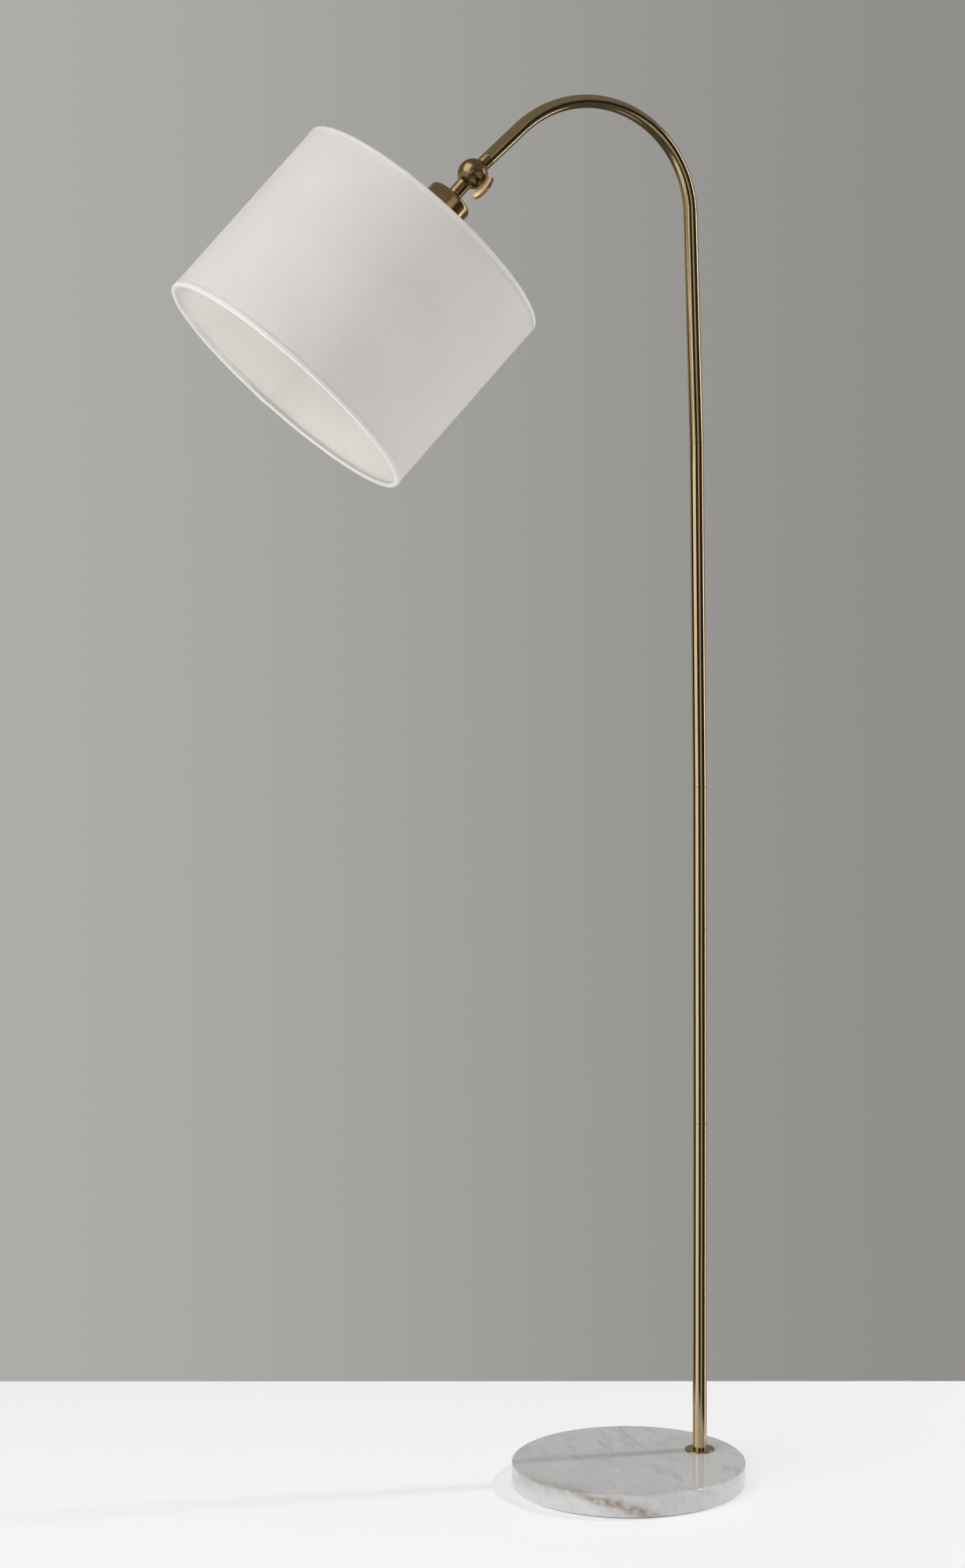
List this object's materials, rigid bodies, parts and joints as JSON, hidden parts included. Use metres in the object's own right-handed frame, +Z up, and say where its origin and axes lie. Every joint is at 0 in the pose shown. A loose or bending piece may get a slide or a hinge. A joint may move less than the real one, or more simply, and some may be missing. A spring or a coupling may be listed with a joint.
{
  "type": "arc floor lamp",
  "caption": "Floor lamp with a round marble foot, a jointed tube pole that bends over into an arc, and a drum shade on a tilting ball swivel.",
  "frame": {"origin": "centre of the foot's underside, on the floor", "axes": "+Z up along the pole; -X from the foot's centre towards the side the arc and the shade reach to; the pole stands on the +X side of the foot"},
  "size_m": [0.6439, 0.3302, 1.5555],
  "materials": {
    "marble": "polished marble with fine veins",
    "base_felt": "thin black foam pad",
    "black_rubber": "moulded, matte",
    "zinc_steel": "zinc plated",
    "bush_steel": "turned",
    "fibre": "pressed fibre",
    "card": "insulating card",
    "black_phenolic": "moulded phenolic",
    "contact_brass": "bare, bright",
    "socket_brass": "darkened, satin",
    "switch_knob": "darkened, satin",
    "ring_nut_white": "moulded",
    "shade_linen": "fine plain weave",
    "shade_backing": "laminated backing, satin",
    "white_wire": "white powder coat",
    "opal_glass": "opal, frosted",
    "bulb_metal": "formed thread shell",
    "bulb_contact": "solder dome",
    "antique_brass": "antique, brushed along its length, lacquered"
  },
  "bodies": {
    "stand": {"arc_end_bush": "bush_steel", "arc_end_stud": "zinc_steel", "arc_length": "antique_brass", "arc_lower_bush": "bush_steel", "base_pad": "base_felt", "cord_grommet": "black_rubber", "foot_flange": "antique_brass", "foot_nut": "zinc_steel", "foot_spring_washer": "zinc_steel", "foot_stud": "zinc_steel", "foot_washer": "zinc_steel", "friction_washer": "fibre", "lower_bush_1": "bush_steel", "lower_bush_2": "bush_steel", "lower_bush_3": "bush_steel", "marble_base": "marble", "pole_length_1": "antique_brass", "pole_length_2": "antique_brass", "pole_length_3": "antique_brass", "pole_stud_1": "zinc_steel", "pole_stud_2": "zinc_steel", "pole_stud_3": "zinc_steel", "swivel_arm_half": "antique_brass", "upper_bush_1": "bush_steel", "upper_bush_2": "bush_steel", "upper_bush_3": "bush_steel"},
    "head": {"swivel_head_half": "antique_brass", "cone_washer": "zinc_steel", "cup_stud": "zinc_steel", "socket_cup": "antique_brass", "cup_nut": "zinc_steel", "socket_cap": "socket_brass", "socket_shell": "socket_brass", "socket_sleeve": "card", "socket_body": "black_phenolic", "socket_screw_shell": "contact_brass", "centre_contact": "contact_brass", "shade_ring_nut": "ring_nut_white", "shade_fabric": "shade_linen", "shade_liner": "shade_backing", "top_wire": "white_wire", "bottom_wire": "white_wire", "top_hem": "shade_linen", "bottom_hem": "shade_linen", "shade_spider": "white_wire", "bulb_glass": "opal_glass", "bulb_base": "bulb_metal", "bulb_tip": "bulb_contact"},
    "clamp_screw": {"thumb_screw": "antique_brass", "thumb_paddle": "antique_brass"},
    "switch_key": {"switch_key": "switch_knob"}
  },
  "joints": [
    {"name": "head_tilt", "type": "hinge", "parent": "stand", "child": "head", "pos_m": [-0.1835, 0, 1.46951], "axis": [-0.122, -0.9232, -0.3645], "range_deg": [-95, 60]},
    {"name": "thumb_screw_turn", "type": "hinge", "parent": "stand", "child": "clamp_screw", "pos_m": [-0.1835, 0, 1.46951], "axis": [-0.122, -0.9232, -0.3645], "range_deg": [0, 360]},
    {"name": "switch_key_turn", "type": "hinge", "parent": "head", "child": "switch_key", "pos_m": [-0.23792, 0.00496, 1.41177], "axis": [0.5033, 0.7612, -0.409], "continuous": true}
  ]
}
